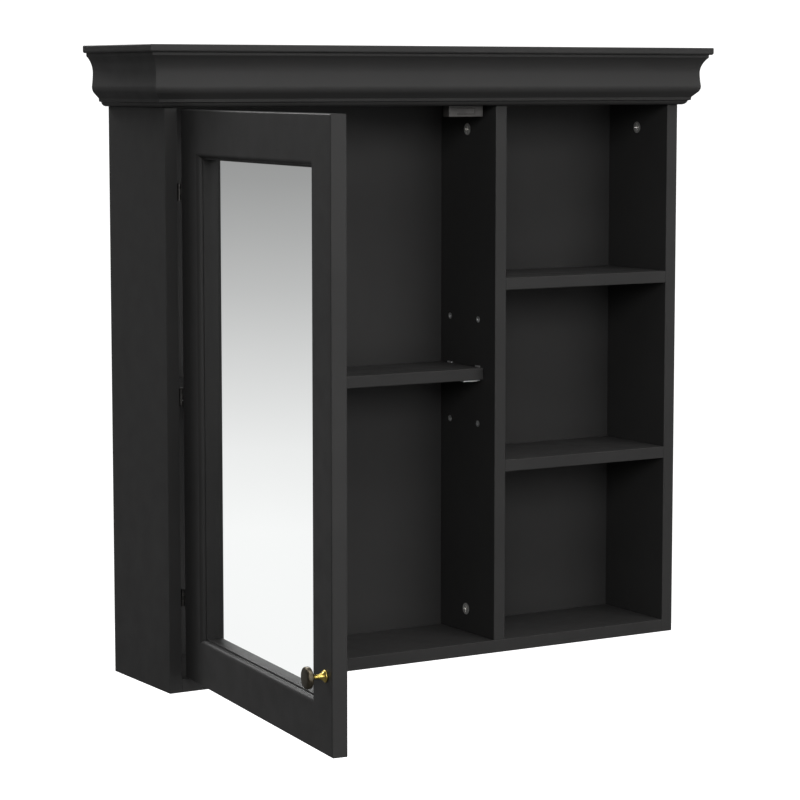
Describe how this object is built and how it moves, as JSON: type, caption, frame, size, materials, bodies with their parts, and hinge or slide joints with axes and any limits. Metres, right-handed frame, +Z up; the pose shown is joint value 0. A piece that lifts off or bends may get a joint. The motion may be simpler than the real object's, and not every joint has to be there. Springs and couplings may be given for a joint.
{
  "type": "medicine cabinet",
  "caption": "Wall-hung bathroom cabinet with a moulded cornice, a hinged mirrored door over a bay with a lift-out shelf, and open shelves beside it.",
  "frame": {"origin": "midway between the two hanging keyholes, on the plane of the wall", "axes": "+Z up, +Y into the wall, +X to the right when facing the cabinet"},
  "size_m": [0.8208, 0.5885, 0.76],
  "materials": {
    "satin_black_paint": "satin black paint on wood",
    "back_board": "satin black painted thin board",
    "raw_rail": "satin black painted wood",
    "mirror": "polished silvered glass",
    "black_hinge_steel": "black lacquered steel",
    "zinc": "zinc plated steel",
    "cam_zinc": "die-cast zinc",
    "brass": "polished brass",
    "bronze": "oil rubbed dark bronze",
    "catch_plastic": "dark moulded plastic",
    "magnet": "ferrite",
    "beech": "unfinished beech"
  },
  "bodies": {
    "cabinet": {"left_side_panel": "satin_black_paint", "right_side_panel": "satin_black_paint", "divider": "satin_black_paint", "top_board": "satin_black_paint", "bottom_board": "satin_black_paint", "back_panel": "back_board", "lower_fixed_shelf": "satin_black_paint", "upper_fixed_shelf": "satin_black_paint", "hanging_rail": "raw_rail", "hanger_plates": "zinc", "hanger_screws": "zinc", "cornice_front_moulding": "satin_black_paint", "cornice_left_moulding": "satin_black_paint", "cornice_right_moulding": "satin_black_paint", "cornice_front_rail": "satin_black_paint", "cornice_rear_rail": "satin_black_paint", "cornice_left_rail": "satin_black_paint", "cornice_right_rail": "satin_black_paint", "cornice_cap": "satin_black_paint", "cornice_screws": "zinc", "cam_locks": "cam_zinc", "cam_bolts": "zinc", "dowels": "beech", "pin_sleeves": "zinc", "shelf_supports": "zinc", "catch_housing": "catch_plastic", "catch_magnet": "magnet", "catch_poles": "black_hinge_steel", "catch_screws": "zinc", "hinge_frame_leaves": "black_hinge_steel", "hinge_pins": "black_hinge_steel", "hinge_frame_screws": "black_hinge_steel"},
    "door": {"door_hinge_stile": "satin_black_paint", "door_free_stile": "satin_black_paint", "door_top_rail": "satin_black_paint", "door_bottom_rail": "satin_black_paint", "door_mirror": "mirror", "mirror_clips": "zinc", "mirror_clip_screws": "zinc", "knob_stem": "brass", "knob_disc": "bronze", "knob_screw": "zinc", "strike_plate": "zinc", "strike_screws": "zinc", "hinge_door_leaves": "black_hinge_steel", "hinge_door_screws": "black_hinge_steel"},
    "adjustable_shelf": {"adjustable_shelf": "satin_black_paint"}
  },
  "joints": [
    {"name": "door_hinge", "type": "hinge", "parent": "cabinet", "child": "door", "pos_m": [-0.35025, -0.152, 0], "axis": [0, 0, -1], "range_deg": [-96.5, 68.5]},
    {"name": "shelf_lift", "type": "slide", "parent": "cabinet", "child": "adjustable_shelf", "axis": [0, 0, 1], "range_m": [0, 0.06]}
  ]
}
